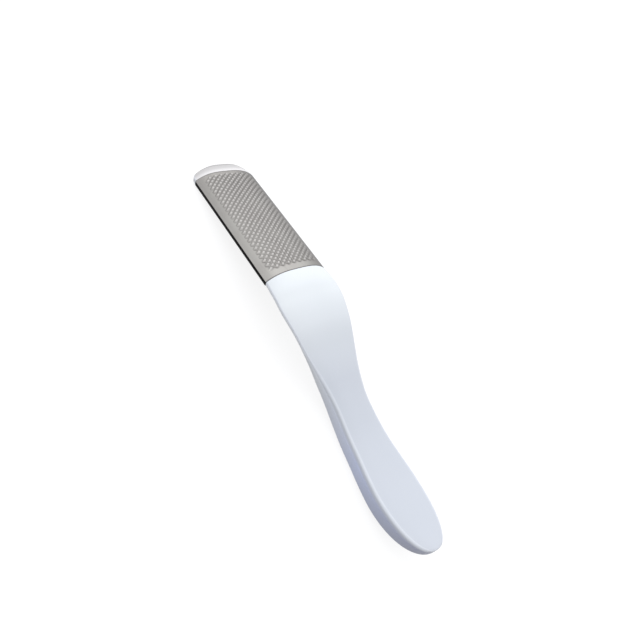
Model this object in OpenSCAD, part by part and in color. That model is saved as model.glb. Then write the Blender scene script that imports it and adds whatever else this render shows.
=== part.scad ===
// Foot file with a crowned metal rasp on one face of its head, emery on a
// thin black pad on the other, and a cranked handle welded from two shells.
// Pieces are drawn along X from the tip towards the handle, with Z out of
// the rasp face, then laid on a table: the nose and the handle's belly touch.

/* [Rasp plate] */
// Length of the rasp plate
plate_len = 70; // [55:0.5:90]
// Width of the rasp plate
plate_w = 32; // [26:0.5:40]
// Height of the plate's middle above its long edges
plate_crown = 4.2; // [3:0.1:6]
// Sheet thickness of the plate
plate_t = 0.5; // [0.3:0.05:0.8]
// Bare metal between the long edge and the teeth
side_margin = 3.2; // [2.5:0.1:5]
// Bare metal between the ends and the teeth
end_margin = 3.2; // [2:0.1:6]

/* [Teeth] */
// Spacing of the teeth along the file
tooth_pitch_len = 2.65; // [2.2:0.05:4]
// Spacing of the teeth across the file
tooth_pitch_w = 3.2; // [2.6:0.05:4.5]
// Height of a tooth above the sheet
tooth_h = 0.5; // [0.2:0.05:0.8]
// Width of the grooves between teeth
groove_w = 0.35; // [0.2:0.05:0.6]
// How far a tooth's crest is set towards the tip
crest_offset = 0.2; // [0:0.05:0.4]

/* [Reverse face] */
// Thickness of the soft pad
pad_t = 1.6; // [1.2:0.1:4]
// Thickness of the emery sheet
emery_t = 0.4; // [0.2:0.05:0.8]
// Thickness of the glue films
film_t = 0.15; // [0.1:0.05:0.3]
// How far the emery stands proud of the nose
emery_proud = 0.3; // [0.1:0.05:0.6]

/* [Nose] */
// Length of the nose beyond the plate
nose_len = 5.8; // [3:0.1:8]
// How far the nose narrows on each side towards its front
nose_corner = 5; // [3:0.1:8]
// Rounding of the nose's top and bottom edges
nose_edge_r = 0.9; // [0.5:0.1:1.5]

/* [Handle] */
// Length of the handle from the shoulder to its end
handle_len = 123.6; // [100:0.2:160]
// How far the paddle lies below the head
handle_drop = 29.7; // [15:0.1:40]
// Width of the shoulder at its widest
shoulder_w = 33.6; // [28:0.1:42]
// Width of the neck
neck_w = 17.7; // [13:0.1:24]
// Width of the paddle
paddle_w = 22.4; // [16:0.1:32]
// Thickness of the grip below its upper edge
grip_depth = 11.6; // [9:0.1:15]
// Wall of the back shell
shell_t = 2; // [1.2:0.1:2.5]
// Rounding of the handle's upper edges
edge_r = 1; // [0.3:0.05:1.5]
// Height of the crown across the paddle
paddle_crown = 0.8; // [0.2:0.1:1.5]

/* [Locating ridges] */
// Height of the front shell's ridges, which drop into the back shell's hollows
ridge_h = 1.2; // [0.6:0.1:2]
// Thickness of a ridge
ridge_t = 1; // [0.8:0.1:1.5]

/* [Fits] */
// Gap left round the plate, the pad and the locating ridges
seat_gap = 0.15; // [0.1:0.05:0.3]

/* [Hidden] */

// The crown rises with this power of the distance from the middle.
crown_power = 3;
// Depth of the deck's flat underside below the plate's upper edge
deck_edge = 0.35;
// Rounding of the deck's upper edges
deck_r = 0.2;
// Thickness of the lip that the plate folds over the deck
lip_t = plate_t;
// Depth of the head from the plate's edge to the emery's face
head_depth = deck_edge + film_t + pad_t + emery_t;
nose_depth = head_depth - emery_proud;

half_w = plate_w / 2;
deck_half = half_w - lip_t - seat_gap;
arc_half = deck_half - deck_r;

// Whole teeth fill the space between the margins.
teeth_len = round((plate_len - 2 * end_margin) / tooth_pitch_len);
teeth_w = round((plate_w - 2 * side_margin) / tooth_pitch_w);
zone_len = plate_len - 2 * end_margin;
zone_half = half_w - side_margin;
step_len = zone_len / teeth_len / 2;
step_w = zone_half / teeth_w;

// Height of the crowned sheet's top at a distance from the middle
function sheet_z(y) = plate_crown * (1 - pow(abs(y) / half_w, crown_power));

// Columns that the deck, the glue and the plate share, so that they seat
margin_mid = (zone_half + arc_half) / 2;
zone_cols = [for (j = [-teeth_w : 2 : teeth_w]) j * step_w];
cols = concat([-arc_half, -margin_mid], zone_cols, [margin_mid, arc_half]);

// Smooth curve through the points of a table, level at both its ends
function span_of(t, x, i = 0) =
    (i >= len(t) - 2 || x <= t[i + 1][0]) ? i : span_of(t, x, i + 1);
function rise(t, i) =
    (i == 0 || i == len(t) - 1) ? 0 :
    (t[i + 1][1] - t[i - 1][1]) / (t[i + 1][0] - t[i - 1][0]);
function smooth(t, x) =
    let (i = span_of(t, x), h = t[i + 1][0] - t[i][0], u = (x - t[i][0]) / h)
    t[i][1] * (2 * u * u * u - 3 * u * u + 1)
    + t[i + 1][1] * (3 * u * u - 2 * u * u * u)
    + rise(t, i) * h * (u * u * u - 2 * u * u + u)
    + rise(t, i + 1) * h * (u * u * u - u * u);

// Shares of the handle's length, each with a share of the size named beside it
drop_shares = [[0, 0], [0.08, 0.012], [0.2, 0.16], [0.3, 0.372], [0.4, 0.56], [0.5, 0.724],
               [0.6, 0.848], [0.75, 0.951], [0.87, 0.989], [1, 1]];
shoulder_share = 0.08;
neck_share = 0.48;
end_share = 0.784;
waist_shares = [[shoulder_share, 1], [0.13, 0.99], [0.2, 0.82], [0.27, 0.6], [0.35, 0.3],
                [0.42, 0.08], [neck_share, 0]];
paddle_shares = [[neck_share, 0], [0.55, 0.12], [0.63, 0.34], [0.71, 0.76], [end_share, 1]];
depth_shares = [[0, 0], [0.24, 0.01], [0.29, 0.1], [0.32, 0.24], [0.356, 0.45], [0.394, 0.63],
                [0.43, 0.79], [0.48, 0.94], [0.6, 1], [1, 1]];
crown_shares = [[0, 1], [0.12, 0.6], [0.26, 0.22], [0.42, 0.05], [0.6, 0], [1, 0]];

// The end rounds off in plan with one power and in depth with the other.
plan_power = 2.3;
round_power = 1.9;
// Depth left at the very end, as a share of the grip's depth
blunt_share = 0.23;
// The front shell takes this share of the depth that the handle gains.
part_share = 0.3;
part_min = deck_edge + film_t;
// Share of the back shell's depth that its side walls take before the belly
wall_share = 0.72;
// Largest rounding of an upper edge, as a share of the side below it
fillet_share = 0.7;

function rounded(s, power) =
    s < end_share ? 1 : pow(1 - pow((s - end_share) / (1 - end_share), power), 1 / power);
function plan_half(s) =
    s < shoulder_share ? half_w + (shoulder_w / 2 - half_w) * sin(90 * s / shoulder_share)
    : s < neck_share ? neck_w / 2 + (shoulder_w - neck_w) / 2 * smooth(waist_shares, s)
    : s < end_share ? neck_w / 2 + (paddle_w - neck_w) / 2 * smooth(paddle_shares, s)
    : paddle_w / 2 * rounded(s, plan_power);
function edge_z(s) = -handle_drop * smooth(drop_shares, s);
function crown_h(s) =
    paddle_crown + (plate_crown - paddle_crown) * smooth(crown_shares, s);
// Depths below the upper edge: underside, parting face and foot of the side wall
function depth_z(s) =
    let (full = nose_depth + (grip_depth - nose_depth) * smooth(depth_shares, s),
         blunt = blunt_share * grip_depth)
    blunt + (full - blunt) * rounded(s, round_power);
function part_z(s) = part_min + part_share * (depth_z(s) - nose_depth);
function wall_z(s) = part_z(s) + wall_share * (depth_z(s) - part_z(s));

// Stations along the handle, closer together where its end rounds off
body_steps = 36;
end_steps = 10;
end_angle = 87;
// Where each hollow of the back shell begins and ends, with a rib between two
cell_shares = [[0.37, 0.48], [0.5, 0.61], [0.63, 0.75], [0.77, 0.89]];
function in_cell(s) = len([for (c = cell_shares) if (s > c[0] && s < c[1]) 1]) > 0;
plain_stations = concat([for (i = [0 : body_steps - 1]) end_share * i / body_steps],
    [for (i = [0 : end_steps]) end_share + (1 - end_share) * sin(end_angle * i / end_steps)]);
cell_ends = [for (c = cell_shares) for (e = c) e];
near_share = 0.006;
function near_end(s) = min([for (e = cell_ends) abs(s - e)]) < near_share;
function sorted(v) = len(v) < 2 ? v :
    let (p = v[floor(len(v) / 2)])
    concat(sorted([for (a = v) if (a < p) a]), [p], sorted([for (a = v) if (a > p) a]));
stations = sorted(concat([for (s = plain_stations) if (!near_end(s)) s], cell_ends));

// One closed ring of a shell with a crowned top and a flat underside
function top_ring(x, ys, zs, r, low) =
    let (n = len(ys) - 1, y = ys[n], z = zs[n])
    concat([for (i = [0 : n]) [x, ys[i], zs[i]]],
        [[x, y + r * sin(45), z - r * (1 - cos(45))], [x, y + r, z - r], [x, y + r, low],
         [x, -y - r, low], [x, -y - r, z - r], [x, -y - r * sin(45), z - r * (1 - cos(45))]]);

// Rings of the nose, the deck and the handle's front
nose_steps = 6;
nose_bottom = -nose_depth;
// The nose's corners in plan are a little fuller than an ellipse.
nose_power = 2.3;
// Share of the edge rounding that the nose's front takes in height
nose_share = 0.8;
function round_in(r, d) = d >= r ? 0 : r - sqrt(r * r - (r - d) * (r - d));
function corner_in(d) =
    nose_corner * (1 - pow(1 - pow(1 - d / nose_len, nose_power), 1 / nose_power));
function nose_ring(a) =
    let (d = nose_len * (1 - cos(a)), edge = min(nose_edge_r, nose_depth / 2),
         e = round_in(edge, d) * nose_share, b = half_w - corner_in(d),
         r = min(edge_r, (1 - fillet_share) * (nose_depth - 2 * e)))
    top_ring(d - nose_len, [for (c = cols) c / arc_half * (b - r)],
        [for (c = cols) -e + plate_crown * (1 - pow(abs(c) / arc_half, crown_power))],
        r, nose_bottom + e);
function deck_ring(x) =
    top_ring(x, cols, [for (c = cols) sheet_z(c) - plate_t - film_t], deck_r, -deck_edge);
function front_ring(s) =
    let (b = plan_half(s), z = edge_z(s), r = min(edge_r, fillet_share * part_z(s), b / 2))
    top_ring(plate_len + s * handle_len, [for (c = cols) c / arc_half * (b - r)],
        [for (c = cols) z + crown_h(s) * (1 - pow(abs(c) / arc_half, crown_power))],
        r, z - part_z(s));
front_rings = concat(
    [for (i = [0 : nose_steps]) nose_ring(90 * i / nose_steps)],
    [deck_ring(0), deck_ring(plate_len)],
    [for (s = stations) front_ring(s)]);

// Rings of the back shell: its outside, and the hollow within it
belly_steps = 7;
belly_power = 2.6;
function pull(v) = sign(v) * pow(abs(v), 2 / belly_power);
function belly(x, b, z, wall, depth) =
    [for (i = [0 : belly_steps]) let (a = 180 * i / belly_steps)
        [x, -b * pull(cos(a)), z - wall - (depth - wall) * pull(sin(a))]];
// Half width of a hollow's mouth, also where the handle is narrow
function mouth_half(s) = max(plan_half(s) - shell_t, plan_half(s) / 3);
function back_outer(s) =
    let (x = plate_len + s * handle_len, b = plan_half(s), z = edge_z(s),
         i = mouth_half(s), p = z - part_z(s))
    concat([[x, -b, p]], belly(x, b, z, wall_z(s), depth_z(s)),
        [[x, b, p], [x, i, p], [x, -i, p]]);
function back_inner(s) =
    let (x = plate_len + s * handle_len, floor_z = depth_z(s) - shell_t,
         w = part_z(s) + wall_share * (floor_z - part_z(s)))
    belly(x, plan_half(s) - shell_t, edge_z(s), w, floor_z);

// Rings of the ridge along one side of a hollow, from the front shell down into it
function ridge_ring(s, side) =
    let (x = plate_len + s * handle_len, p = edge_z(s) - part_z(s),
         y = mouth_half(s) - seat_gap, top = p + part_z(s) / 2,
         low = p - min(ridge_h, (depth_z(s) - shell_t - part_z(s)) / 2),
         ys = side > 0 ? [y - ridge_t, y] : [-y, ridge_t - y])
    [[x, ys[0], top], [x, ys[1], top], [x, ys[1], low], [x, ys[0], low]];
function ridge_rings(c, side) =
    let (end = seat_gap / handle_len, inside = [for (s = stations) if (s > c[0] && s < c[1]) s])
    [for (s = concat([c[0] + end], inside, [c[1] - end])) ridge_ring(s, side)];

// Places the finished pieces with the nose and the belly on the table
function lowest(r) = [r[0][0], min([for (p = r) p[2]])];
nose_feet = [for (i = [0 : nose_steps]) lowest(front_rings[i])];
back_feet = [for (s = stations) lowest(back_outer(s))];
lay_angle = min([for (a = nose_feet) max([for (b = back_feet) atan2(a[1] - b[1], b[0] - a[0])])]);
function laid(p) = [p[0] * cos(lay_angle) - p[2] * sin(lay_angle), p[1],
                    p[0] * sin(lay_angle) + p[2] * cos(lay_angle)];
laid_points = [for (r = concat(front_rings, [for (s = stations) back_outer(s)]))
    for (p = r) laid(p)];
lay_x = -(min([for (p = laid_points) p[0]]) + max([for (p = laid_points) p[0]])) / 2;
lay_z = -min([for (p = laid_points) p[2]]);
module lay() {
    translate([lay_x, 0, lay_z]) rotate([0, -lay_angle, 0]) children();
}

// Skin through rings that all have the same number of points
module loft(rings) {
    n = len(rings);
    m = len(rings[0]);
    polyhedron(
        points = [for (r = rings) for (p = r) p],
        faces = concat(
            [[for (j = [m - 1 : -1 : 0]) j]],
            [[for (j = [0 : m - 1]) (n - 1) * m + j]],
            [for (i = [0 : n - 2]) for (j = [0 : m - 1])
                [i * m + j, i * m + (j + 1) % m, (i + 1) * m + j]],
            [for (i = [0 : n - 2]) for (j = [0 : m - 1])
                [i * m + (j + 1) % m, (i + 1) * m + (j + 1) % m, (i + 1) * m + j]]));
}

// Nose, deck and upper half of the handle, moulded in one with the ridges
module front_shell() {
    color("white") lay() union() {
        loft(front_rings);
        for (c = cell_shares, side = [-1, 1]) loft(ridge_rings(c, side));
    }
}

// Lower half of the handle: a tub whose hollow is divided by cross ribs
module back_shell() {
    n = len(stations);
    m = len(back_outer(0));
    k = belly_steps + 1;
    outer = [for (s = stations) for (p = back_outer(s)) p];
    inner = [for (s = stations) for (p = back_inner(s)) p];
    base = n * m;
    open = [for (i = [0 : n - 2]) in_cell((stations[i] + stations[i + 1]) / 2)];
    rim_r = m - 2;
    rim_l = m - 1;
    color("whitesmoke") lay() polyhedron(
        points = concat(outer, inner),
        faces = concat(
            end_fan(0, rim_l, rim_r),
            [for (f = end_fan((n - 1) * m, rim_l, rim_r)) [f[0], f[2], f[1]]],
            [for (i = [0 : n - 2]) for (j = [0 : m - 1]) if (j != rim_r || !open[i])
                [i * m + j, (i + 1) * m + j, i * m + (j + 1) % m]],
            [for (i = [0 : n - 2]) for (j = [0 : m - 1]) if (j != rim_r || !open[i])
                [i * m + (j + 1) % m, (i + 1) * m + j, (i + 1) * m + (j + 1) % m]],
            [for (i = [0 : n - 2]) if (open[i]) each hollow_side(i, m, k, base, rim_l, rim_r)],
            [for (i = [1 : n - 2]) if (!open[i] && open[i - 1])
                concat([i * m + rim_l], [for (j = [0 : k - 1]) base + i * k + j],
                       [i * m + rim_r])],
            [for (i = [1 : n - 2]) if (open[i] && !open[i - 1])
                concat([i * m + rim_r], [for (j = [k - 1 : -1 : 0]) base + i * k + j],
                       [i * m + rim_l])]));
}
// End of the tub: one half of the belly fans out from each rim
function end_fan(b, rim_l, rim_r) =
    let (half = floor(rim_r / 2))
    concat([for (j = [0 : half - 2]) [b + rim_l, b + j, b + j + 1]],
        [[b + rim_l, b + half - 1, b + rim_r]],
        [for (j = [half - 1 : rim_r - 2]) [b + rim_r, b + j, b + j + 1]]);
// Inner skin of one stretch of the hollow, from the left rim to the right
function hollow_side(i, m, k, base, rim_l, rim_r) =
    let (a = concat([i * m + rim_l], [for (j = [0 : k - 1]) base + i * k + j],
                    [i * m + rim_r]),
         b = concat([(i + 1) * m + rim_l], [for (j = [0 : k - 1]) base + (i + 1) * k + j],
                    [(i + 1) * m + rim_r]))
    [for (j = [0 : k]) each [[a[j], a[j + 1], b[j]], [a[j + 1], b[j + 1], b[j]]]];

// Crowned sheet with rows of leaning, flat-crested diamond teeth
crest_share = 0.32;
function lattice(i, j) = [end_margin + i * step_len, (j - teeth_w) * step_w];
function on_sheet(p, h = 0) = [p[0], p[1], sheet_z(p[1]) + h];
function toward(c, p, share) = [c[0] + (p[0] - c[0]) * share, c[1] + (p[1] - c[1]) * share];
module rasp_plate() {
    rows = 2 * teeth_len;
    across = 2 * teeth_w;
    base_share = 1 - groove_w / norm([step_len, step_w]);
    // Corner points of the diamonds, and the rest of each tooth
    grid = [for (i = [0 : rows]) for (j = [0 : across]) on_sheet(lattice(i, j))];
    teeth = [for (i = [1 : rows - 1]) for (j = [1 : across - 1]) if ((i + j) % 2 == 1) [i, j]];
    tooth_points = [for (t = teeth)
        let (c = lattice(t[0], t[1]),
             around = [lattice(t[0] - 1, t[1]), lattice(t[0], t[1] + 1),
                       lattice(t[0] + 1, t[1]), lattice(t[0], t[1] - 1)])
        each concat([for (p = around) on_sheet(toward(c, p, base_share))],
            [for (p = around) let (q = toward(c, p, crest_share))
                [q[0] - crest_offset, q[1], sheet_z(q[1]) + tooth_h]])];
    g = (rows + 1) * (across + 1);
    function at(i, j) = i * (across + 1) + j;
    tooth_faces = [for (n = [0 : len(teeth) - 1])
        let (i = teeth[n][0], j = teeth[n][1], b = g + 8 * n,
             rim = [at(i - 1, j), at(i, j + 1), at(i + 1, j), at(i, j - 1)])
        each concat(
            [for (q = [0 : 3]) each [[rim[q], rim[(q + 1) % 4], b + q],
                                     [rim[(q + 1) % 4], b + (q + 1) % 4, b + q]]],
            [for (q = [0 : 3]) each [[b + q, b + (q + 1) % 4, b + 4 + q],
                                     [b + (q + 1) % 4, b + 4 + (q + 1) % 4, b + 4 + q]]],
            [[b + 4, b + 5, b + 6], [b + 4, b + 6, b + 7]])];
    edge_faces = concat(
        [for (j = [1 : 2 : across - 1]) each
            [[at(0, j - 1), at(0, j + 1), at(1, j)],
             [at(rows, j + 1), at(rows, j - 1), at(rows - 1, j)]]],
        [for (i = [1 : 2 : rows - 1]) each
            [[at(i + 1, 0), at(i - 1, 0), at(i, 1)],
             [at(i - 1, across), at(i + 1, across), at(i, across - 1)]]]);
    // Bare margins: four columns on each side, and the two ends
    m0 = g + 8 * len(teeth);
    side_cols = [-half_w, -arc_half, -margin_mid, margin_mid, arc_half, half_w];
    side_xs = concat([seat_gap], [for (i = [0 : 2 : rows]) lattice(i, 0)[0]],
                     [plate_len - seat_gap]);
    nx = len(side_xs);
    margin_points = [for (x = side_xs) for (y = side_cols) on_sheet([x, y])];
    function side(i, c) = m0 + i * 6 + c;
    e0 = m0 + nx * 6;
    end_points = [for (x = [seat_gap, plate_len - seat_gap]) for (y = zone_cols) on_sheet([x, y])];
    nz = len(zone_cols);
    function end_at(k, j) = e0 + k * nz + j;
    // Upper surface as a grid of rows: one vertex number for each column
    left_edge = [for (i = [0 : nx - 1])
        i == 0 ? end_at(0, 0) : i == nx - 1 ? end_at(1, 0) : at(2 * (i - 1), 0)];
    right_edge = [for (i = [0 : nx - 1])
        i == 0 ? end_at(0, nz - 1) : i == nx - 1 ? end_at(1, nz - 1) : at(2 * (i - 1), across)];
    strips = [for (i = [0 : nx - 2]) each concat(
        quad(side(i, 0), side(i, 1), side(i + 1, 1), side(i + 1, 0)),
        quad(side(i, 1), side(i, 2), side(i + 1, 2), side(i + 1, 1)),
        quad(side(i, 2), left_edge[i], left_edge[i + 1], side(i + 1, 2)),
        quad(right_edge[i], side(i, 3), side(i + 1, 3), right_edge[i + 1]),
        quad(side(i, 3), side(i, 4), side(i + 1, 4), side(i + 1, 3)),
        quad(side(i, 4), side(i, 5), side(i + 1, 5), side(i + 1, 4)))];
    end_strips = [for (j = [0 : nz - 2]) each concat(
        quad(end_at(0, j), end_at(0, j + 1), at(0, 2 * j + 2), at(0, 2 * j)),
        quad(at(rows, 2 * j), at(rows, 2 * j + 2), end_at(1, j + 1), end_at(1, j)))];
    // Underside: the same columns, with a lip folded down at each long edge
    u0 = e0 + 2 * nz;
    lip_low = -deck_edge - film_t;
    under = concat([[half_w, lip_low], [deck_half + seat_gap, lip_low],
                    [deck_half + seat_gap, sheet_z(arc_half) - plate_t]],
        [for (i = [len(cols) - 1 : -1 : 0]) [cols[i], sheet_z(cols[i]) - plate_t]],
        [[-deck_half - seat_gap, sheet_z(arc_half) - plate_t],
         [-deck_half - seat_gap, lip_low], [-half_w, lip_low]]);
    nu = len(under);
    under_points = [for (x = [seat_gap, plate_len - seat_gap]) for (p = under) [x, p[0], p[1]]];
    under_faces = [for (j = [0 : nu - 2]) each
        quad(u0 + j, u0 + j + 1, u0 + nu + j + 1, u0 + nu + j)];
    // Cut ends of the sheet: columns across the arc, and a fan over each lip
    function end_wall(i, k) =
        let (top = concat([side(i, 1), side(i, 2)], [for (j = [0 : nz - 1]) end_at(k, j)],
                          [side(i, 3), side(i, 4)]),
             low = [for (j = [nu - 4 : -1 : 3]) u0 + k * nu + j], u = u0 + k * nu)
        concat([for (j = [0 : len(top) - 2]) each quad(low[j], low[j + 1], top[j + 1], top[j])],
            [[side(i, 0), low[0], top[0]]],
            [for (j = [nu - 4 : nu - 2]) [side(i, 0), u + j + 1, u + j]],
            [[side(i, 5), top[len(top) - 1], low[len(low) - 1]]],
            [for (j = [0 : 2]) [side(i, 5), u + j + 1, u + j]]);
    end_walls = concat(end_wall(0, 0), [for (f = end_wall(nx - 1, 1)) [f[0], f[2], f[1]]]);
    long_walls = concat(
        [for (i = [0 : nx - 2]) [u0 + nu - 1, side(i, 0), side(i + 1, 0)]],
        [[u0 + nu - 1, side(nx - 1, 0), u0 + 2 * nu - 1]],
        [for (i = [0 : nx - 2]) [u0, side(i + 1, 5), side(i, 5)]],
        [[u0, u0 + nu, side(nx - 1, 5)]]);
    color("silver") lay() polyhedron(
        points = concat(grid, tooth_points, margin_points, end_points, under_points),
        faces = concat(tooth_faces, edge_faces, strips, end_strips, under_faces,
                       end_walls, long_walls));
}
function quad(a, b, c, d) = [[a, b, c], [a, c, d]];

// Flat outline of the head's section between two curves, drawn along X
module section(points, from, to) {
    translate([from, 0, 0]) rotate([90, 0, 90]) linear_extrude(height = to - from)
        polygon(points);
}

// Glue between the deck and the plate
module plate_adhesive() {
    color("khaki") lay() section(concat(
        [for (c = cols) [c, sheet_z(c) - plate_t - film_t]],
        [for (i = [len(cols) - 1 : -1 : 0]) [cols[i], sheet_z(cols[i]) - plate_t]]),
        seat_gap, plate_len - seat_gap);
}

// A flat layer on the reverse face
module layer(half, top, thick) {
    translate([seat_gap, -half, top - thick])
        cube([plate_len - 2 * seat_gap, 2 * half, thick]);
}
module pad_adhesive() {
    color("khaki") lay() layer(deck_half, -deck_edge, film_t);
}
module foam_pad() {
    color("black") lay() layer(half_w, -deck_edge - film_t, pad_t);
}
module emery_sheet() {
    color("dimgray") lay() layer(half_w, -deck_edge - film_t - pad_t, emery_t);
}

front_shell();
back_shell();
rasp_plate();
plate_adhesive();
foam_pad();
pad_adhesive();
emery_sheet();
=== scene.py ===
import math
import bpy
import bmesh
from mathutils import Matrix, Vector


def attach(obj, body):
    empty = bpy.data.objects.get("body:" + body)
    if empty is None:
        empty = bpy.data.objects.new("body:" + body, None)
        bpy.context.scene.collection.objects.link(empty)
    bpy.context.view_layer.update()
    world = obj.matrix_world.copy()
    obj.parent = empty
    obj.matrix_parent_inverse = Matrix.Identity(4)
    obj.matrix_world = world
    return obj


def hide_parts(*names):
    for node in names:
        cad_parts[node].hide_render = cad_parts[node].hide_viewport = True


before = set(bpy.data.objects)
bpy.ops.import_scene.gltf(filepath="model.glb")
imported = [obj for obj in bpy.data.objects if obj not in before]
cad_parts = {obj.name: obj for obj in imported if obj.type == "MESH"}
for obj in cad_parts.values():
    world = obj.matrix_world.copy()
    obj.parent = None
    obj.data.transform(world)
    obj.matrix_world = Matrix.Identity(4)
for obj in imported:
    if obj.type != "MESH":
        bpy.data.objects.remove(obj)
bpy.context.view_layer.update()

# the file lies on a table on its nose and its belly, so the head is tilted
# pieces are drawn in mm: x from the tip to the handle, z out of the rasp face
lay = {"angle": 13.0344, "x": -94.763, "z": 3.26959}
toTable = (Matrix.Scale(0.001, 4) @ Matrix.Translation((lay["x"], 0, lay["z"]))
           @ Matrix.Rotation(math.radians(-lay["angle"]), 4, "Y"))

# sizes that several pieces share, in mm
head = {
    "length": 70, "width": 32, "crown": 4.2, "crownPower": 3,
    "sheet": 0.5, "film": 0.15, "gap": 0.15,
    "deckHalf": 15.35, "deckEdge": 0.35, "nose": 2.2,
}

# values that the materials read at the vertices
shellMarks = ("edge", "side", "tip")    # painted highlight on the edges, how much painted side shade, how much painted shade
plateMarks = ("crest", "field", "rim", "rising", "falling")    # rim carries a painted shadow at the plate's ends; the last two count the teeth


# small helpers
def curveAt(points, x):                 # smooth curve through points, level at both ends
    i = 0
    while i < len(points) - 2 and x > points[i + 1][0]:
        i += 1

    def slope(k):
        if k in (0, len(points) - 1):
            return 0
        (xa, ya), (xb, yb) = points[k - 1], points[k + 1]
        return (yb - ya) / (xb - xa)

    (xa, ya), (xb, yb) = points[i], points[i + 1]
    h = xb - xa
    u = (x - xa) / h
    return (ya * (2 * u**3 - 3 * u**2 + 1) + yb * (3 * u**2 - 2 * u**3)
            + slope(i) * h * (u**3 - 2 * u**2 + u) + slope(i + 1) * h * (u**3 - u**2))


def crownAt(y, half, height):
    return height * (1 - min(abs(y) / half, 1) ** head["crownPower"])


def drawIn(radius, d):                  # how far a rounding falls at a distance from its end
    return 0 if d >= radius else radius - math.sqrt(radius**2 - (radius - d) ** 2)


def addMarks(bm, labels):
    return [bm.verts.layers.float.new(label) for label in labels]


def vertsIn(geom):
    return [g for g in geom if isinstance(g, bmesh.types.BMVert)]


def extrudeThrough(bm, rings, marks):   # first ring becomes a cap, which is extruded on
    layers = addMarks(bm, shellMarks)
    start = bmesh.ops.create_circle(bm, cap_ends=True, segments=len(rings[0]), radius=1)
    cap = start["verts"][0].link_faces[0]
    for n, ring in enumerate(rings):
        if n > 0:
            made = bmesh.ops.extrude_face_region(bm, geom=[cap])["geom"]
            cap = [f for f in made if isinstance(f, bmesh.types.BMFace)][0]
        for v, place, mark in zip(cap.verts, ring, marks[n]):
            v.co = place
            for layer, value in zip(layers, mark):
                v[layer] = value


def roundEdges(bm, edges, width, steps):
    bmesh.ops.bevel(bm, geom=edges, offset=width, segments=steps, profile=0.5,
                    affect="EDGES", material=-1)


def addObject(name, mesh):
    made = bpy.data.objects.new(name, mesh)
    bpy.context.collection.objects.link(made)
    return made


def finishPiece(bm, name, material, node, sharpAngle=35):
    bmesh.ops.recalc_face_normals(bm, faces=bm.faces)
    bmesh.ops.transform(bm, matrix=toTable, verts=bm.verts)
    mesh = bpy.data.meshes.new(name)
    bm.to_mesh(mesh)
    bm.free()
    mesh.materials.append(material)
    mesh.shade_smooth()
    mesh.set_sharp_from_angle(angle=math.radians(sharpAngle))
    piece = addObject(name, mesh)
    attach(piece, "root")
    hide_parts(node)
    print("made", name, len(mesh.polygons), "faces")
    return piece


# node helpers
def addNode(tree, kind, values=None, **settings):
    node = tree.nodes.new(kind)
    for key, value in settings.items():
        setattr(node, key, value)
    for key, value in (values or {}).items():
        node.inputs[key].default_value = value
    return node


def addMaths(tree, operation, a, b, clamp=False):
    node = addNode(tree, "ShaderNodeMath", operation=operation, use_clamp=clamp)
    for i, value in enumerate((a, b)):
        if isinstance(value, (int, float)):
            node.inputs[i].default_value = value
        else:
            tree.links.new(value, node.inputs[i])
    return node.outputs[0]


def addRange(tree, value, fromLow, fromHigh, toLow, toHigh, kind="LINEAR"):
    node = addNode(tree, "ShaderNodeMapRange", {1: fromLow, 2: fromHigh, 3: toLow, 4: toHigh},
                   interpolation_type=kind)
    tree.links.new(value, node.inputs[0])
    return node.outputs[0]


def mixColours(tree, factor, first, second, blend="MIX"):
    node = addNode(tree, "ShaderNodeMix", data_type="RGBA", blend_type=blend)
    for i, value in ((0, factor), (6, first), (7, second)):
        if isinstance(value, (int, float, tuple)):
            node.inputs[i].default_value = value
        else:
            tree.links.new(value, node.inputs[i])
    return node.outputs[2]


def addRamp(tree, value, colours):      # colours at equal steps from 0 to 1
    node = tree.nodes.new("ShaderNodeValToRGB")
    stops = node.color_ramp.elements
    while len(stops) < len(colours):
        stops.new(0.5)
    for i, colour in enumerate(colours):
        stops[i].position = i / (len(colours) - 1)
        stops[i].color = colour
    tree.links.new(value, node.inputs[0])
    return node.outputs["Color"]


def readPlace(tree):
    return addNode(tree, "ShaderNodeTexCoord").outputs["Object"]


def splitPlace(tree):
    parts = addNode(tree, "ShaderNodeSeparateXYZ")
    tree.links.new(readPlace(tree), parts.inputs[0])
    return parts.outputs


def readMarks(tree, labels):
    return [addNode(tree, "ShaderNodeAttribute", attribute_name=label).outputs["Fac"]
            for label in labels]


def newGroup(name, inputs, outputs):
    tree = bpy.data.node_groups.new(name, "ShaderNodeTree")
    for label, value in inputs.items():
        socket = tree.interface.new_socket(name=label, in_out="INPUT", socket_type="NodeSocketFloat")
        socket.default_value = value
    for label in outputs:
        tree.interface.new_socket(name=label, in_out="OUTPUT", socket_type="NodeSocketFloat")
    return tree, tree.nodes.new("NodeGroupInput"), tree.nodes.new("NodeGroupOutput")


def useGroup(tree, group, **values):
    return addNode(tree, "ShaderNodeGroup", values, node_tree=group).outputs


# shader groups
drifts = {
    "slow": {"Detail": 1, "Roughness": 0.4}, "slowFrom": 0.2, "slowTo": 0.8,
    "quick": {"Detail": 4, "Roughness": 0.6}, "quickFrom": 0.3, "quickTo": 0.7,
}


def makeWander():                       # slow and quick drift of a finish over a surface
    tree, groupIn, groupOut = newGroup("slowWander", {"Scale": 60, "Fine": 900}, ["Slow", "Quick"])
    where = readPlace(tree)
    slow = addNode(tree, "ShaderNodeTexNoise", drifts["slow"])
    quick = addNode(tree, "ShaderNodeTexNoise", drifts["quick"])
    for node, label in ((slow, "Scale"), (quick, "Fine")):
        tree.links.new(where, node.inputs["Vector"])
        tree.links.new(groupIn.outputs[label], node.inputs["Scale"])
    eased = addRange(tree, slow.outputs[0], drifts["slowFrom"], drifts["slowTo"], 0, 1, "SMOOTHSTEP")
    even = addRange(tree, quick.outputs[0], drifts["quickFrom"], drifts["quickTo"], 0, 1)
    tree.links.new(eased, groupOut.inputs["Slow"])
    tree.links.new(even, groupOut.inputs["Quick"])
    return tree


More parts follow.
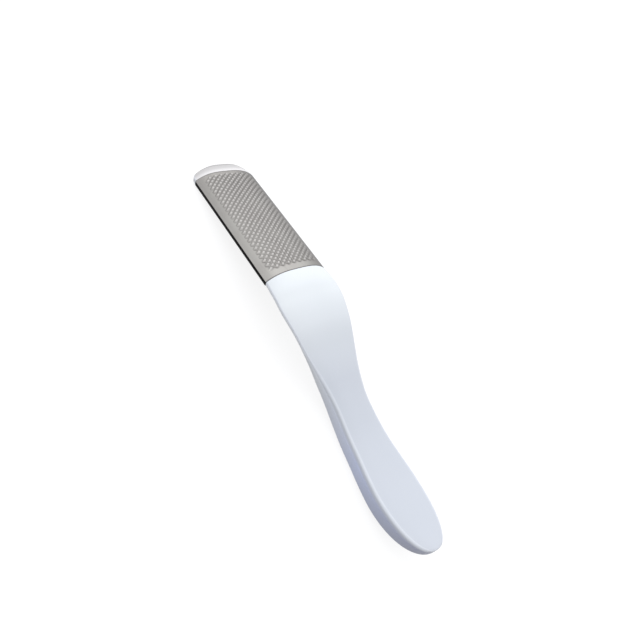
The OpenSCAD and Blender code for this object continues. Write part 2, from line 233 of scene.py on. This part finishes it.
# each way that the scratches run has its turn in degrees and how long it draws them
scratches = {"ways": ((8, 20), (-37, 12)), "noise": {"Detail": 2, "Roughness": 0.5}, "crisp": 12}


def makeHairlines():                    # fine scratches in two directions
    tree, groupIn, groupOut = newGroup("hairlines", {"Scale": 500, "Cut": 0.62}, ["Mask"])
    where = readPlace(tree)
    masks = []
    for turn, longer in scratches["ways"]:
        placed = {"Rotation": (0, 0, math.radians(turn)), "Scale": (longer, 1, longer)}
        mapping = addNode(tree, "ShaderNodeMapping", placed, vector_type="TEXTURE")
        noise = addNode(tree, "ShaderNodeTexNoise", scratches["noise"])
        tree.links.new(where, mapping.inputs["Vector"])
        tree.links.new(mapping.outputs[0], noise.inputs["Vector"])
        tree.links.new(groupIn.outputs["Scale"], noise.inputs["Scale"])
        over = addMaths(tree, "SUBTRACT", noise.outputs[0], groupIn.outputs["Cut"])
        masks.append(addMaths(tree, "MULTIPLY", over, scratches["crisp"], clamp=True))
    tree.links.new(addMaths(tree, "MAXIMUM", *masks), groupOut.inputs["Mask"])
    return tree


wander = makeWander()
hairlines = makeHairlines()
print("made the shader groups")


def newMaterial(name, colour, roughness):
    material = bpy.data.materials.new(name)
    material.use_nodes = True
    tree = material.node_tree
    shader = tree.nodes["Principled BSDF"]
    shader.inputs["Base Color"].default_value = colour
    shader.inputs["Roughness"].default_value = roughness
    return material, tree, shader


def addBump(tree, shader, height, strength, distance):
    bump = addNode(tree, "ShaderNodeBump", {"Strength": strength, "Distance": distance})
    tree.links.new(height, bump.inputs["Height"])
    tree.links.new(bump.outputs[0], shader.inputs["Normal"])


def setPolish(tree, shader, values, drift, lines=None):    # wanders from smooth to rough
    roughness = addRange(tree, drift["Quick"], 0, 1, values["smooth"], values["rough"])
    if lines is not None:               # and is rougher along the scratches
        worn = addMaths(tree, "MULTIPLY", lines["Mask"], values["scratched"])
        roughness = addMaths(tree, "ADD", roughness, worn)
    tree.links.new(roughness, shader.inputs["Roughness"])


# glossy white plastic, for both shells
# the top goes from the nose's tone over the head's to the handle's, the head painted lighter and the
# handle darker as painted light falling off along the file; the side goes through its own three tones of
# painted shade
plastic = {
    "noseTone": (0.86, 0.84, 0.84, 1), "headLitTone": (0.835, 0.87, 0.90, 1),
    "handleShadedTone": (0.63, 0.66, 0.72, 1), "paintedHighlight": (0.745, 0.775, 0.835, 1),
    "paintedSideShades": [(0.88, 0.91, 0.96, 1), (0.66, 0.72, 0.93, 1), (0.42, 0.44, 0.55, 1)],
    "paintedShadeTone": (0.36, 0.35, 0.345, 1), "clean": (1, 1, 1, 1), "aged": (0.975, 0.98, 0.985, 1),
    "noseFrom": -0.09, "noseTo": -0.05, "toneFrom": -0.014, "toneTo": 0.024,
    "sideFrom": 0.02, "sideTo": 0.1,
    "gloss": 0.18, "smooth": 0.24, "rough": 0.28, "scratched": 0.02,
    "fine": 1400, "lineScale": 800, "lineCut": 0.69, "grain": 0.05, "grainDepth": 0.00001,
}


def makePlastic(name, driftScale):
    material, tree, shader = newMaterial(name, plastic["headLitTone"], plastic["smooth"])
    shader.inputs["Specular IOR Level"].default_value = plastic["gloss"]
    drift = useGroup(tree, wander, Scale=driftScale, Fine=plastic["fine"])
    lines = useGroup(tree, hairlines, Scale=plastic["lineScale"], Cut=plastic["lineCut"])
    along = splitPlace(tree)["X"]
    handleShadeMask = addRange(tree, along, plastic["toneFrom"], plastic["toneTo"], 0, 1)
    behindNose = addRange(tree, along, plastic["noseFrom"], plastic["noseTo"], 0, 1)
    towardsEnd = addRange(tree, along, plastic["sideFrom"], plastic["sideTo"], 0, 1)
    edge, side, tip = readMarks(tree, shellMarks)
    # painted light: the head's tone lighter, the handle's darker where less light falls
    tone = mixColours(tree, handleShadeMask, plastic["headLitTone"], plastic["handleShadedTone"])
    tone = mixColours(tree, behindNose, plastic["noseTone"], tone)
    # painted shade: the side band, pale near the neck, darker and bluer towards the end
    tone = mixColours(tree, side, tone, addRamp(tree, towardsEnd, plastic["paintedSideShades"]))
    # painted shade: grey on the nose's front rounding and under the belly
    tone = mixColours(tree, tip, tone, plastic["paintedShadeTone"])
    # painted highlight: a pale line along the edge roundings and a little paler near the top's edges
    tone = mixColours(tree, edge, tone, plastic["paintedHighlight"])
    shade = mixColours(tree, drift["Slow"], plastic["clean"], plastic["aged"])
    tree.links.new(mixColours(tree, 1, tone, shade, "MULTIPLY"), shader.inputs["Base Color"])
    setPolish(tree, shader, plastic, drift, lines)
    addBump(tree, shader, drift["Quick"], plastic["grain"], plastic["grainDepth"])
    return material


frontPlastic = makePlastic("frontPlastic", driftScale=38)
backPlastic = makePlastic("backPlastic", driftScale=44)

# satin steel with painted shade in the grooves and crests painted lighter, partly polish and partly
# painted highlight along the plate from the tip to the shoulder, the painted shade of the first grooves
# grows lighter and of the others darker
steel = {
    "pale": (0.385, 0.375, 0.355, 1), "shade": (0.35, 0.335, 0.32, 1),
    "groove": (0.2, 0.19, 0.182, 1), "crest": (0.565, 0.545, 0.53, 1), "rim": (0.16, 0.15, 0.15, 1),
    "tint": (0.6, 0.6, 0.62, 1), "smooth": 0.3, "rough": 0.42, "scratched": 0.12,
    "drift": 90, "fine": 2600, "lineScale": 900, "lineCut": 0.58, "bump": 0.25, "bumpDepth": 0.00002,
    "cutFrom": 0.07, "cutTo": 0.25, "deep": 0.78, "shallow": 0.36, "cross": 0.4, "crossFar": 0.8,
    "tip": -0.09, "middle": -0.065, "shoulder": -0.03, "lightFrom": -0.085, "lighter": 1.2,
    "shineFrom": 0.4, "shine": 0.7, "fadeIn": 0.15,
    "fainterFrom": 0.006, "fainterTo": 0.0145, "fainterCut": 0.4, "fainterShine": 0.3, "darker": 0.8,
}


def fadeAcross(tree, across, near, far):    # towards the long edge on +y, where the painted groove shade and crest highlight grow fainter and the steel is painted darker, as less light falls there
    return addRange(tree, across, steel["fainterFrom"], steel["fainterTo"], near, far)


def makeGrooveShade(tree, along, across, field, rising, falling):
    # painted shade along both groove directions, one family darker than the other as light falls
    cuts = [addRange(tree, addMaths(tree, "PINGPONG", count, 0.5), steel["cutFrom"], steel["cutTo"], 1, 0)
            for count in (falling, rising)]
    depth = addRange(tree, along, steel["tip"], steel["shoulder"], steel["deep"], steel["shallow"])
    cross = addRange(tree, along, steel["middle"], steel["shoulder"], steel["cross"], steel["crossFar"])
    cut = addMaths(tree, "MAXIMUM", addMaths(tree, "MULTIPLY", cuts[0], depth),
                   addMaths(tree, "MULTIPLY", cuts[1], cross))
    inField = addMaths(tree, "MULTIPLY", cut, addRange(tree, field, 0, steel["fadeIn"], 0, 1))
    return addMaths(tree, "MULTIPLY", inField, fadeAcross(tree, across, 1, steel["fainterCut"]))


def makeSteel():
    material, tree, shader = newMaterial("raspSteel", steel["pale"], steel["rough"])
    shader.inputs["Metallic"].default_value = 1
    shader.inputs["Specular Tint"].default_value = steel["tint"]
    drift = useGroup(tree, wander, Scale=steel["drift"], Fine=steel["fine"])
    lines = useGroup(tree, hairlines, Scale=steel["lineScale"], Cut=steel["lineCut"])
    place = splitPlace(tree)
    along, across = place["X"], place["Y"]
    crest, field, rim, rising, falling = readMarks(tree, plateMarks)
    base = mixColours(tree, drift["Slow"], steel["pale"], steel["shade"])
    lighter = addRange(tree, along, steel["lightFrom"], steel["shoulder"], 1, steel["lighter"])
    # painted shade: the steel darker towards the long edge on +y
    darker = fadeAcross(tree, across, 1, steel["darker"])
    scaled = addNode(tree, "ShaderNodeVectorMath", operation="SCALE")
    tree.links.new(base, scaled.inputs[0])
    tree.links.new(addMaths(tree, "MULTIPLY", lighter, darker), scaled.inputs["Scale"])
    # painted shadow: the plate's end edges darkened like the shade in the gap at the nose and shoulder
    base = mixColours(tree, rim, scaled.outputs[0], steel["rim"])
    groove = makeGrooveShade(tree, along, across, field, rising, falling)
    # painted shade in the grooves
    grooveShaded = mixColours(tree, groove, base, steel["groove"])
    # crests painted lighter: partly polish, partly painted highlight
    onCrest = addRange(tree, crest, steel["shineFrom"], 1, 0, 1)
    fainter = fadeAcross(tree, across, steel["shine"], steel["shine"] * steel["fainterShine"])
    shine = addMaths(tree, "MULTIPLY", onCrest, fainter)
    tree.links.new(mixColours(tree, shine, grooveShaded, steel["crest"]), shader.inputs["Base Color"])
    setPolish(tree, shader, steel, drift, lines)
    height = addMaths(tree, "SUBTRACT", drift["Quick"], lines["Mask"])
    addBump(tree, shader, height, steel["bump"], steel["bumpDepth"])
    return material


raspSteel = makeSteel()

# black closed-cell foam
foam = {
    "dark": (0.002, 0.002, 0.002, 1), "pale": (0.005, 0.005, 0.0055, 1), "gloss": 0.12,
    "smooth": 0.7, "rough": 0.95, "drift": 260, "fine": 3000,
    "cell": 4200, "bump": 0.6, "bumpDepth": 0.00006,
}


def makeFoam():
    material, tree, shader = newMaterial("blackFoam", foam["dark"], foam["rough"])
    shader.inputs["Specular IOR Level"].default_value = foam["gloss"]
    drift = useGroup(tree, wander, Scale=foam["drift"], Fine=foam["fine"])
    cells = addNode(tree, "ShaderNodeTexVoronoi", {"Scale": foam["cell"]})
    tree.links.new(readPlace(tree), cells.inputs["Vector"])
    tree.links.new(mixColours(tree, drift["Slow"], foam["dark"], foam["pale"]),
                   shader.inputs["Base Color"])
    setPolish(tree, shader, foam, drift)
    addBump(tree, shader, cells.outputs["Distance"], foam["bump"], foam["bumpDepth"])
    return material


blackFoam = makeFoam()

# emery: dark grains in resin on cloth
emery = {
    "resin": (0.015, 0.014, 0.014, 1), "grain": (0.075, 0.07, 0.068, 1), "gloss": 0.3,
    "smooth": 0.35, "rough": 0.85, "drift": 120, "fine": 3600,
    "size": 5200, "grainFrom": 0.1, "grainTo": 0.5, "bump": 0.9, "bumpDepth": 0.0001,
}


def makeEmery():
    material, tree, shader = newMaterial("emeryGrit", emery["resin"], emery["rough"])
    shader.inputs["Specular IOR Level"].default_value = emery["gloss"]
    drift = useGroup(tree, wander, Scale=emery["drift"], Fine=emery["fine"])
    grains = addNode(tree, "ShaderNodeTexVoronoi", {"Scale": emery["size"]})
    tree.links.new(readPlace(tree), grains.inputs["Vector"])
    tip = addRange(tree, grains.outputs["Distance"], emery["grainFrom"], emery["grainTo"], 1, 0)
    colour = mixColours(tree, addMaths(tree, "MULTIPLY", tip, drift["Quick"]),
                        emery["resin"], emery["grain"])
    tree.links.new(colour, shader.inputs["Base Color"])
    tree.links.new(addRange(tree, tip, 0, 1, emery["rough"], emery["smooth"]), shader.inputs["Roughness"])
    addBump(tree, shader, tip, emery["bump"], emery["bumpDepth"])
    return material


emeryGrit = makeEmery()

# clear glue, seen only at the thin gaps
glue = {
    "pale": (0.72, 0.67, 0.5, 1), "deep": (0.55, 0.47, 0.28, 1), "smooth": 0.2, "rough": 0.5,
    "drift": 240, "fine": 1800, "bump": 0.3, "bumpDepth": 0.00005,
}


def makeGlue():
    material, tree, shader = newMaterial("clearGlue", glue["pale"], glue["rough"])
    drift = useGroup(tree, wander, Scale=glue["drift"], Fine=glue["fine"])
    tree.links.new(mixColours(tree, drift["Slow"], glue["pale"], glue["deep"]),
                   shader.inputs["Base Color"])
    setPolish(tree, shader, glue, drift)
    addBump(tree, shader, drift["Quick"], glue["bump"], glue["bumpDepth"])
    return material


clearGlue = makeGlue()
for film in ("plate_adhesive", "pad_adhesive"):
    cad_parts[film].material_slots[0].material = clearGlue
print("made the materials")

# handle: both shells follow the same curves from the shoulder to the end
handle = {
    "length": 123.6, "drop": 29.7, "shoulder": 33.6, "neck": 17.7, "paddle": 22.4,
    "grip": 11.6, "edge": 1.25, "edgeShare": 0.7, "paddleCrown": 0.8,
    "shoulderAt": 0.08, "neckAt": 0.48, "endAt": 0.784,
    "planPower": 2.3, "roundPower": 1.9, "blunt": 0.23, "part": 0.3, "wall": 0.72,
    "seam": 0.1, "seamShare": 0.2, "stations": 96, "endStations": 26,
    "endTurn": 89,                      # short of 90 degrees, so the last ring isn't a point
}
dropCurve = [(0, 0), (0.08, 0.012), (0.2, 0.16), (0.3, 0.372), (0.4, 0.56), (0.5, 0.724),
             (0.6, 0.848), (0.75, 0.951), (0.87, 0.989), (1, 1)]
waistCurve = [(0.08, 1), (0.13, 0.99), (0.2, 0.82), (0.27, 0.6), (0.35, 0.3), (0.42, 0.08), (0.48, 0)]
paddleCurve = [(0.48, 0), (0.55, 0.12), (0.63, 0.34), (0.71, 0.76), (0.784, 1)]
depthCurve = [(0, 0), (0.24, 0.01), (0.29, 0.1), (0.32, 0.24), (0.356, 0.45), (0.394, 0.63),
              (0.43, 0.79), (0.48, 0.94), (0.6, 1), (1, 1)]
crownCurve = [(0, 1), (0.12, 0.6), (0.26, 0.22), (0.42, 0.05), (0.6, 0), (1, 0)]


def roundedEnd(s, power):               # 1 along the handle, then down to 0 at its end
    if s < handle["endAt"]:
        return 1
    t = (s - handle["endAt"]) / (1 - handle["endAt"])
    return max(1 - t**power, 0) ** (1 / power)


def halfWidth(s):
    half, neck = head["width"] / 2, handle["neck"] / 2
    if s < handle["shoulderAt"]:
        return half + (handle["shoulder"] / 2 - half) * math.sin(math.pi / 2 * s / handle["shoulderAt"])
    if s < handle["neckAt"]:
        return neck + (handle["shoulder"] / 2 - neck) * curveAt(waistCurve, s)
    if s < handle["endAt"]:
        return neck + (handle["paddle"] / 2 - neck) * curveAt(paddleCurve, s)
    return handle["paddle"] / 2 * roundedEnd(s, handle["planPower"])


def sectionAt(s):                       # part, depth and wall are measured down from the upper edge
    full = head["nose"] + (handle["grip"] - head["nose"]) * curveAt(depthCurve, s)
    blunt = handle["blunt"] * handle["grip"]
    depth = blunt + (full - blunt) * roundedEnd(s, handle["roundPower"])
    part = head["deckEdge"] + head["film"] + handle["part"] * (depth - head["nose"])
    crown = handle["paddleCrown"] + (head["crown"] - handle["paddleCrown"]) * curveAt(crownCurve, s)
    return {
        "x": head["length"] + s * handle["length"], "half": halfWidth(s),
        "edge": -handle["drop"] * curveAt(dropCurve, s), "part": part, "depth": depth,
        "wall": part + handle["wall"] * (depth - part),
        "crown": roundedEnd(s, handle["planPower"]) * crown,
        "rounding": min(handle["edge"], handle["edgeShare"] * part),
        "seam": min(handle["seam"], handle["seamShare"] * part),
    }


def handleStations():
    body = [handle["endAt"] * i / handle["stations"] for i in range(handle["stations"])]
    steps, turn = handle["endStations"], math.radians(handle["endTurn"])
    end = [handle["endAt"] + (1 - handle["endAt"]) * math.sin(turn * i / steps)
           for i in range(steps + 1)]
    return body + end


# a crowned top, rounded shoulders, straight sides and a flat underside
topSteps = 28
cornerSteps = 5


def crownedRing(x, half, top, crown, radius, low, seam):
    slope = math.atan(head["crownPower"] * crown / half)    # the rounding starts along the crown
    edge = half - radius * (1 - math.sin(slope))
    ring = []
    for i in range(topSteps + 1):
        y = edge * math.sin(math.pi * (i / topSteps - 0.5))    # closer together towards the edges
        ring.append((y, top + crownAt(y, edge, crown)))
    centre = top - radius * math.cos(slope)
    for i in range(1, cornerSteps + 1):
        a = slope + (math.pi / 2 - slope) * i / cornerSteps
        ring.append((half - radius + radius * math.sin(a), centre + radius * math.cos(a)))
    ring += [(half, low + seam), (half - seam, low)]
    count = len(ring) - topSteps - 1
    mirrored = [(-y, z) for y, z in ring[-count:]][::-1]
    return [Vector((x, y, z)) for y, z in ring + mirrored]


# how much painted highlight each point has and how much painted side shade it has
# first on the top near its edge, then down the rounding and the side
topMarks = [(0, 0), (0, 0), (0.04, 0), (0.08, 0), (0.2, 0), (0.8, 0), (1, 0)]
sideMarks = [(1, 0), (1, 0), (0.9, 0), (0.75, 0.1), (0.5, 0.3), (0, 1), (0, 1)]
lineRise = 8                            # how soon the painted highlight line starts on the end's rounding


def markAround(tip, ending=0):          # ending grows from 0 to 1 down the rounding of the handle's end
    middle = [(0, 0)] * (topSteps + 1 - 2 * len(topMarks))
    around = topMarks[::-1] + middle + topMarks + sideMarks + sideMarks[::-1]
    # the end's face takes more painted side shade as ending grows, and the painted highlight runs round
    # it
    line = min(lineRise * ending, 1) * (1 - ending**2)
    return [(max(paintedHighlight, line) * (1 - tip), max(toned, ending**2), tip) for paintedHighlight, toned in around]


# front shell: nose, deck under the plate, and the upper half of the handle
nose = {
    "length": 5.8, "corner": 5, "power": 2.3, "edge": 0.9, "share": 0.8,
    "fillet": 0.3, "seam": 0.12, "steps": 18,
}
# painted shade on the nose, darkest at its front rounding
noseShade = [(0, 1), (0.6, 1), (1.4, 0.6), (3.2, 0.45), (5.8, 0)]
deck = {"sunk": 0.02, "edge": 0.1, "seam": 0.04}


def noseRing(angle):
    d = nose["length"] * (1 - math.cos(angle))
    e = drawIn(nose["edge"], d) * nose["share"]
    radius = nose["fillet"] * (head["nose"] - 2 * e)
    ahead = (1 - d / nose["length"]) ** nose["power"]
    corner = nose["corner"] * (1 - (1 - ahead) ** (1 / nose["power"]))
    return crownedRing(d - nose["length"], head["width"] / 2 - corner,
                       -e, head["crown"], radius, e - head["nose"], nose["seam"])


def deckRing(x):                        # the deck sinks by the thickness of plate and glue
    crown = head["crown"] - head["sheet"] - head["film"] + deck["sunk"]
    return crownedRing(x, head["deckHalf"], -deck["sunk"], crown, deck["edge"],
                       -head["deckEdge"], deck["seam"])


def handleRing(s):
    p = sectionAt(s)
    lowered = drawIn(p["rounding"], (1 - s) * handle["length"])    # rounds the edge of the end too
    radius = min(p["rounding"], handle["edgeShare"] * (p["part"] - lowered), p["half"] / 2)
    ring = crownedRing(p["x"], p["half"], p["edge"] - lowered, p["crown"], radius,
                       p["edge"] - p["part"], p["seam"])
    return ring, markAround(0, lowered / p["rounding"])


def buildFrontShell():
    rings = [noseRing(math.pi / 2 * i / nose["steps"]) for i in range(nose["steps"] + 1)]
    marks = [markAround(curveAt(noseShade, ring[0].x + nose["length"])) for ring in rings]
    for x in (0, head["length"]):
        rings.append(deckRing(x))
        marks.append(markAround(0))
    for s in handleStations():
        ring, mark = handleRing(s)
        rings.append(ring)
        marks.append(mark)
    bm = bmesh.new()
    extrudeThrough(bm, rings, marks)
    finishPiece(bm, "frontShell", frontPlastic, "front_shell")


buildFrontShell()

# back shell: a deep round belly below the parting seam
belly = {"steps": 30, "power": 2.6, "shade": 0.16, "underShade": 0.08}


def backRing(s):
    p = sectionAt(s)
    low, seam = p["edge"] - p["part"], p["seam"]
    ring = [(-p["half"] + seam, low), (-p["half"], low - seam)]
    for i in range(belly["steps"] + 1):
        a = math.pi * i / belly["steps"]
        y = -math.copysign(abs(math.cos(a)) ** (2 / belly["power"]), math.cos(a))
        z = math.sin(a) ** (2 / belly["power"]) if 0 < i < belly["steps"] else 0
        ring.append((p["half"] * y, p["edge"] - p["wall"] - (p["depth"] - p["wall"]) * z))
    ring += [(p["half"], low - seam), (p["half"] - seam, low)]
    return [Vector((p["x"], y, z)) for y, z in ring]


def buildBackShell():
    rings = [backRing(s) for s in handleStations()]
    # painted shade on the belly, darker towards its bottom
    under = [belly["shade"] + belly["underShade"] * math.sin(math.pi * i / belly["steps"])
             for i in range(belly["steps"] + 1)]
    # the whole back shell takes the painted side shade
    marks = [(0, 1, tip) for tip in [0, 0] + under + [0, 0]]
    bm = bmesh.new()
    extrudeThrough(bm, rings, [marks] * len(rings))
    finishPiece(bm, "backShell", backPlastic, "back_shell")


buildBackShell()

# rasp plate: a crowned sheet with rows of leaning diamond teeth
plate = {
    "sideMargin": 2.6, "tipMargin": 1.95, "endMargin": 3.1, "across": 9, "rows": 49,
    "toothHeight": 0.5, "toothSunk": 0.05, "toothEdge": 0.05, "toothEdgeSteps": 2,
    "groove": 0.35, "crest": 0.42, "lean": 0.2, "stretch": 1.08, "stretchTurn": 45,
    "gridAlong": 140, "gridAcross": 72, "rim": 0.1, "corner": 1.85, "sharp": 28,
}
stepLen = (head["length"] - plate["tipMargin"] - plate["endMargin"]) / plate["rows"]
stepWide = (head["width"] / 2 - plate["sideMargin"]) / plate["across"]


def addTooth(bm):                       # one tooth round the origin, longer along one groove
    base = 1 - plate["groove"] / math.hypot(stepLen, stepWide)
    height, sunk = plate["toothHeight"], plate["toothSunk"]
    turn = Matrix.Rotation(math.radians(plate["stretchTurn"]), 4, "Z")
    stretch = turn @ Matrix.Diagonal((1, plate["stretch"], 1, 1)) @ turn.inverted()
    shape = Matrix.Diagonal((stepLen, stepWide, 1, 1)) @ stretch
    made = bmesh.ops.create_cone(bm, cap_ends=True, segments=4, radius1=base, radius2=plate["crest"],
                                 depth=height + sunk, matrix=shape)["verts"]
    bmesh.ops.translate(bm, verts=made, vec=(0, 0, (height - sunk) / 2))
    for v in made:
        if v.co.z > 0:
            v.co.x -= plate["lean"]
    crestEdges = [e for e in bm.edges if max(v.co.z for v in e.verts) > 0]
    roundEdges(bm, crestEdges, plate["toothEdge"], plate["toothEdgeSteps"])
    return bm.verts[:] + bm.edges[:] + bm.faces[:]


def addTeeth(bm):                       # the first tooth is copied to every second place of the lattice
    tooth = addTooth(bm)
    sites = [(i, j) for i in range(1, plate["rows"]) for j in range(1, 2 * plate["across"])
             if (i + j) % 2]
    for i, j in sites:
        copy = bmesh.ops.duplicate(bm, geom=tooth)["geom"]
        place = (plate["tipMargin"] + i * stepLen, (j - plate["across"]) * stepWide, 0)
        bmesh.ops.translate(bm, verts=vertsIn(copy), vec=place)
    bmesh.ops.delete(bm, geom=vertsIn(tooth), context="VERTS")
    return len(sites)


def buildRaspPlate():
    bm = bmesh.new()
    count = addTeeth(bm)
    crest, field, rim, rising, falling = addMarks(bm, plateMarks)
    for v in bm.verts:
        v[crest] = min(max(v.co.z / plate["toothHeight"], 0), 1)
    size = (head["length"] / 2 - head["gap"], head["width"] / 2)
    flat = Matrix.Translation((head["length"] / 2, 0, 0)) @ Matrix.Diagonal((*size, 1, 1))
    sheet = bmesh.ops.create_grid(bm, x_segments=plate["gridAlong"], y_segments=plate["gridAcross"],
                                  size=1, matrix=flat)["verts"]
    for v in bm.verts:                  # places counted in teeth, along both groove directions
        i, j = (v.co.x - plate["tipMargin"]) / stepLen, v.co.y / stepWide
        v[rising], v[falling] = (i - j - plate["across"]) / 2, (i + j + plate["across"]) / 2
        inX, inY = min(i, plate["rows"] - i), plate["across"] - abs(j)
        v[field] = min(inX, inY, inX + inY - plate["corner"])
        # the plate's end edges, for their painted shadow
        v[rim] = float(abs(v.co.x - head["length"] / 2) > size[0] - plate["rim"])
    faces = list({f for v in sheet for f in v.link_faces})
    under = bmesh.ops.extrude_face_region(bm, geom=faces, use_keep_orig=True)["geom"]
    bmesh.ops.translate(bm, verts=vertsIn(under), vec=(0, 0, -head["sheet"]))
    for v in bm.verts:                  # everything flat is lifted onto the crown
        v.co.z += crownAt(v.co.y, head["width"] / 2, head["crown"])
    finishPiece(bm, "raspPlate", raspSteel, "rasp_plate", plate["sharp"])
    print("cut", count, "teeth")


buildRaspPlate()

# reverse face: a foam backing and the emery on it
backing = {"pad": 1.6, "emery": 0.4, "padEdge": 0.12, "emeryEdge": 0.06, "edgeSteps": 3}


def buildLayer(name, material, top, thick, edge, node):
    bm = bmesh.new()
    size = (head["length"] - 2 * head["gap"], head["width"], thick)
    middle = Matrix.Translation((head["length"] / 2, 0, top - thick / 2))
    bmesh.ops.create_cube(bm, size=1, matrix=middle @ Matrix.Diagonal((*size, 1)))
    roundEdges(bm, bm.edges[:], edge, backing["edgeSteps"])
    return finishPiece(bm, name, material, node)


padTop = -head["deckEdge"] - head["film"]
foamBacking = buildLayer("foamBacking", blackFoam, padTop, backing["pad"],
                         backing["padEdge"], "foam_pad")
buildLayer("emerySheet", emeryGrit, padTop - backing["pad"],
           backing["emery"], backing["emeryEdge"], "emery_sheet")

# floor, light and camera
studio = {
    "floorColour": (0.24, 0.24, 0.245, 1), "floorWear": 0.985, "floorRough": 0.9,
    "floorDrift": 5, "floorFine": 200, "floorSize": 8.0, "floorZ": -0.00006, "floorGlow": 0.83,
    "skyColour": (0.97, 0.98, 1, 1), "sky": 0.72, "skyLean": 0.72, "skyFrom": (-0.68, 0.42, 0.6),
    "key": 3, "keyPlace": (-1.1, 0.3, 0.9), "keySize": 1.4,
    "fill": 2.6, "fillPlace": (0.1, -1.15, 0.25), "fillSize": 1.0,
}


def seenDirectly(tree):                 # by the camera, or mirrored in metal or gloss
    path = addNode(tree, "ShaderNodeLightPath").outputs
    seen = addMaths(tree, "MAXIMUM", path["Is Camera Ray"], path["Is Glossy Ray"])
    return addMaths(tree, "MAXIMUM", seen, path["Is Transmission Ray"])


def makeFloor():
    material, tree, shader = newMaterial("paleFloor", studio["floorColour"], studio["floorRough"])
    drift = useGroup(tree, wander, Scale=studio["floorDrift"], Fine=studio["floorFine"])
    worn = tuple(c * studio["floorWear"] for c in studio["floorColour"][:3]) + (1,)
    tree.links.new(mixColours(tree, drift["Slow"], studio["floorColour"], worn),
                   shader.inputs["Base Color"])
    shader.inputs["Specular IOR Level"].default_value = 0
    shader.inputs["Emission Strength"].default_value = studio["floorGlow"]
    glow = mixColours(tree, seenDirectly(tree), (0, 0, 0, 1), (1, 1, 1, 1))
    tree.links.new(glow, shader.inputs["Emission Color"])
    bm = bmesh.new()
    bmesh.ops.create_grid(bm, x_segments=1, y_segments=1, size=studio["floorSize"] / 2,
                          matrix=Matrix.Translation((0, 0, studio["floorZ"])))
    mesh = bpy.data.meshes.new("floor")
    bm.to_mesh(mesh)
    bm.free()
    mesh.materials.append(material)
    addObject("floor", mesh)


def makeWorld():                        # a soft sky, brighter on one side, and even where it is seen
    world = bpy.data.worlds.new("studio")
    bpy.context.scene.world = world
    world.use_nodes = True
    tree = world.node_tree
    background = tree.nodes["Background"]
    background.inputs["Color"].default_value = studio["skyColour"]
    facing = addNode(tree, "ShaderNodeVectorMath", {1: studio["skyFrom"]}, operation="DOT_PRODUCT")
    tree.links.new(addNode(tree, "ShaderNodeTexCoord").outputs["Generated"], facing.inputs[0])
    soft = addRange(tree, facing.outputs["Value"], -1, 1, studio["sky"] - studio["skyLean"],
                    studio["sky"] + studio["skyLean"])
    strength = addNode(tree, "ShaderNodeMix", {3: 1}, data_type="FLOAT")
    tree.links.new(seenDirectly(tree), strength.inputs[0])
    tree.links.new(soft, strength.inputs[2])
    tree.links.new(strength.outputs[0], background.inputs["Strength"])


def addPanel(name, power, place, size):
    light = bpy.data.lights.new(name, "AREA")
    light.energy = power
    light.shape = "SQUARE"
    light.size = size
    lamp = addObject(name, light)
    lamp.location = place
    lamp.rotation_euler = (-Vector(place)).to_track_quat("-Z", "Y").to_euler()


makeFloor()
makeWorld()
addPanel("keyPanel", studio["key"], studio["keyPlace"], studio["keySize"])
addPanel("fillPanel", studio["fill"], studio["fillPlace"], studio["fillSize"])

# place in metres, turn in degrees, lens and nearest distance
shot = {"place": (0.048676, -0.125606, 0.19087), "turn": (29.418, -25.709, 59.935),
        "lens": 28.125, "near": 0.01}


def makeCamera():
    data = bpy.data.cameras.new("camera")
    data.lens = shot["lens"]
    data.clip_start = shot["near"]
    camera = addObject("camera", data)
    camera.location = shot["place"]
    camera.rotation_euler = [math.radians(a) for a in shot["turn"]]
    bpy.context.scene.camera = camera


makeCamera()
bpy.context.scene.view_settings.view_transform = "Standard"
print("set the floor, the lights and the camera")
